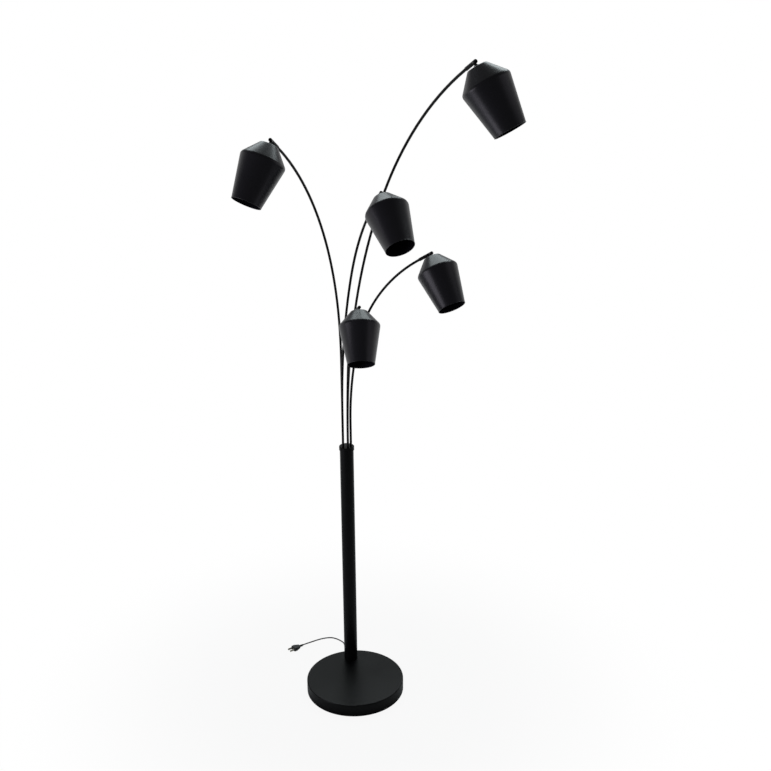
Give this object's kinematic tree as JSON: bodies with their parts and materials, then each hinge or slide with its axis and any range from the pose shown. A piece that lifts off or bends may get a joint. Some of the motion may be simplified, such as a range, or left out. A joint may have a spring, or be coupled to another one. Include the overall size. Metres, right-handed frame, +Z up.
{
  "type": "floor lamp",
  "caption": "Tree floor lamp: a short pole on a round weighted base, bent arms, and a tilting, swivelling cone shade on each arm.",
  "frame": {"origin": "centre of the underside of the base, on the floor", "axes": "+Z up, +X to the right and +Y away from the viewer as pictured"},
  "size_m": [0.663, 0.8982, 1.9257],
  "materials": {
    "black_paint": "satin",
    "weight": "matte",
    "pad": "matte",
    "steel": "satin",
    "moulding": "matte",
    "cord": "matte",
    "blades": "polished"
  },
  "bodies": {
    "stand": {"base_cover": "black_paint", "base_weight": "weight", "base_pad": "pad", "pole_tube": "black_paint", "pole_foot_plug": "steel", "pole_bolt": "steel", "hub_cap": "black_paint", "hub_guide": "steel", "hub_stud": "steel", "terminal_block": "moulding", "base_lead": "cord", "cord_gland": "moulding", "switch_body": "moulding", "cord_to_hank": "cord", "cord_hank": "cord", "hank_tie": "moulding", "cord_to_plug": "cord", "plug_body": "moulding", "plug_blades": "blades"},
    "switch_knob": {"switch_knob": "moulding"},
    "arm_1": {"arm_tube_1": "black_paint", "arm_collar_1": "steel"},
    "sleeve_1": {"swivel_sleeve_1": "black_paint", "tilt_pin_1": "steel"},
    "head_1": {"head_stem_1": "black_paint", "shade_1": "black_paint", "shade_nut_1": "steel", "lamp_holder_1": "moulding"},
    "arm_2": {"arm_tube_2": "black_paint", "arm_collar_2": "steel"},
    "sleeve_2": {"swivel_sleeve_2": "black_paint", "tilt_pin_2": "steel"},
    "head_2": {"head_stem_2": "black_paint", "shade_2": "black_paint", "shade_nut_2": "steel", "lamp_holder_2": "moulding"},
    "arm_3": {"arm_tube_3": "black_paint", "arm_collar_3": "steel"},
    "sleeve_3": {"swivel_sleeve_3": "black_paint", "tilt_pin_3": "steel"},
    "head_3": {"head_stem_3": "black_paint", "shade_3": "black_paint", "shade_nut_3": "steel", "lamp_holder_3": "moulding"},
    "arm_4": {"arm_tube_4": "black_paint", "arm_collar_4": "steel"},
    "sleeve_4": {"swivel_sleeve_4": "black_paint", "tilt_pin_4": "steel"},
    "head_4": {"head_stem_4": "black_paint", "shade_4": "black_paint", "shade_nut_4": "steel", "lamp_holder_4": "moulding"},
    "arm_5": {"arm_tube_5": "black_paint", "arm_collar_5": "steel"},
    "sleeve_5": {"swivel_sleeve_5": "black_paint", "tilt_pin_5": "steel"},
    "head_5": {"head_stem_5": "black_paint", "shade_5": "black_paint", "shade_nut_5": "steel", "lamp_holder_5": "moulding"}
  },
  "joints": [
    {"name": "arm_swivel_1", "type": "hinge", "parent": "stand", "child": "arm_1", "pos_m": [-0.02292, 0.11544, 0.777], "axis": [0, 0, 1], "range_deg": [-45, 40]},
    {"name": "head_roll_1", "type": "hinge", "parent": "arm_1", "child": "sleeve_1", "pos_m": [-0.17728, -0.24999, 1.72516], "axis": [-0.3325, -0.7871, 0.5195], "range_deg": [-45, 45]},
    {"name": "head_tilt_1", "type": "hinge", "parent": "sleeve_1", "child": "head_1", "pos_m": [-0.17728, -0.24999, 1.72516], "axis": [0.8556, -0.4835, -0.1849], "range_deg": [-20.8, 12.2]},
    {"name": "arm_swivel_2", "type": "hinge", "parent": "stand", "child": "arm_2", "pos_m": [-0.00838, 0.12016, 0.777], "axis": [0, 0, 1], "range_deg": [-3, 10]},
    {"name": "head_roll_2", "type": "hinge", "parent": "arm_2", "child": "sleeve_2", "pos_m": [0.27914, -0.51662, 1.91892], "axis": [0.372, -0.824, 0.4274], "range_deg": [-45, 45]},
    {"name": "head_tilt_2", "type": "hinge", "parent": "sleeve_2", "child": "head_2", "pos_m": [0.27914, -0.51662, 1.91892], "axis": [0.8069, 0.5147, 0.2899], "range_deg": [-17.4, 15.6]},
    {"name": "arm_swivel_3", "type": "hinge", "parent": "stand", "child": "arm_3", "pos_m": [-0.02292, 0.10016, 0.777], "axis": [0, 0, 1], "range_deg": [-45, 4]},
    {"name": "head_roll_3", "type": "hinge", "parent": "arm_3", "child": "sleeve_3", "pos_m": [0.08709, -0.17912, 1.58164], "axis": [0.2856, -0.7251, 0.6266], "range_deg": [-45, 45]},
    {"name": "head_tilt_3", "type": "hinge", "parent": "sleeve_3", "child": "head_3", "pos_m": [0.08709, -0.17912, 1.58164], "axis": [0.9275, 0.3736, 0.0095], "range_deg": [-12.1, 20.9]},
    {"name": "arm_swivel_4", "type": "hinge", "parent": "stand", "child": "arm_4", "pos_m": [0.0006, 0.1078, 0.777], "axis": [0, 0, 1], "range_deg": [-24, 35]},
    {"name": "head_roll_4", "type": "hinge", "parent": "arm_4", "child": "sleeve_4", "pos_m": [0.22812, 0.00887, 1.38244], "axis": [0.7844, -0.3411, 0.518], "range_deg": [-45, 45]},
    {"name": "head_tilt_4", "type": "hinge", "parent": "sleeve_4", "child": "head_4", "pos_m": [0.22812, 0.00887, 1.38244], "axis": [0.5372, 0.7911, -0.2926], "range_deg": [-17, 16]},
    {"name": "arm_swivel_5", "type": "hinge", "parent": "stand", "child": "arm_5", "pos_m": [-0.00838, 0.09544, 0.777], "axis": [0, 0, 1], "range_deg": [-6, 5]},
    {"name": "head_roll_5", "type": "hinge", "parent": "arm_5", "child": "sleeve_5", "pos_m": [0.02958, -0.00193, 1.23536], "axis": [0.3046, -0.7814, 0.5446], "range_deg": [-45, 45]},
    {"name": "head_tilt_5", "type": "hinge", "parent": "sleeve_5", "child": "head_5", "pos_m": [0.02958, -0.00193, 1.23536], "axis": [0.9523, 0.2617, -0.1572], "range_deg": [-18, 15]},
    {"name": "switch_turn", "type": "hinge", "parent": "stand", "child": "switch_knob", "pos_m": [-0.0124, 0.1426, 0.575], "axis": [0, 1, 0], "continuous": true}
  ]
}
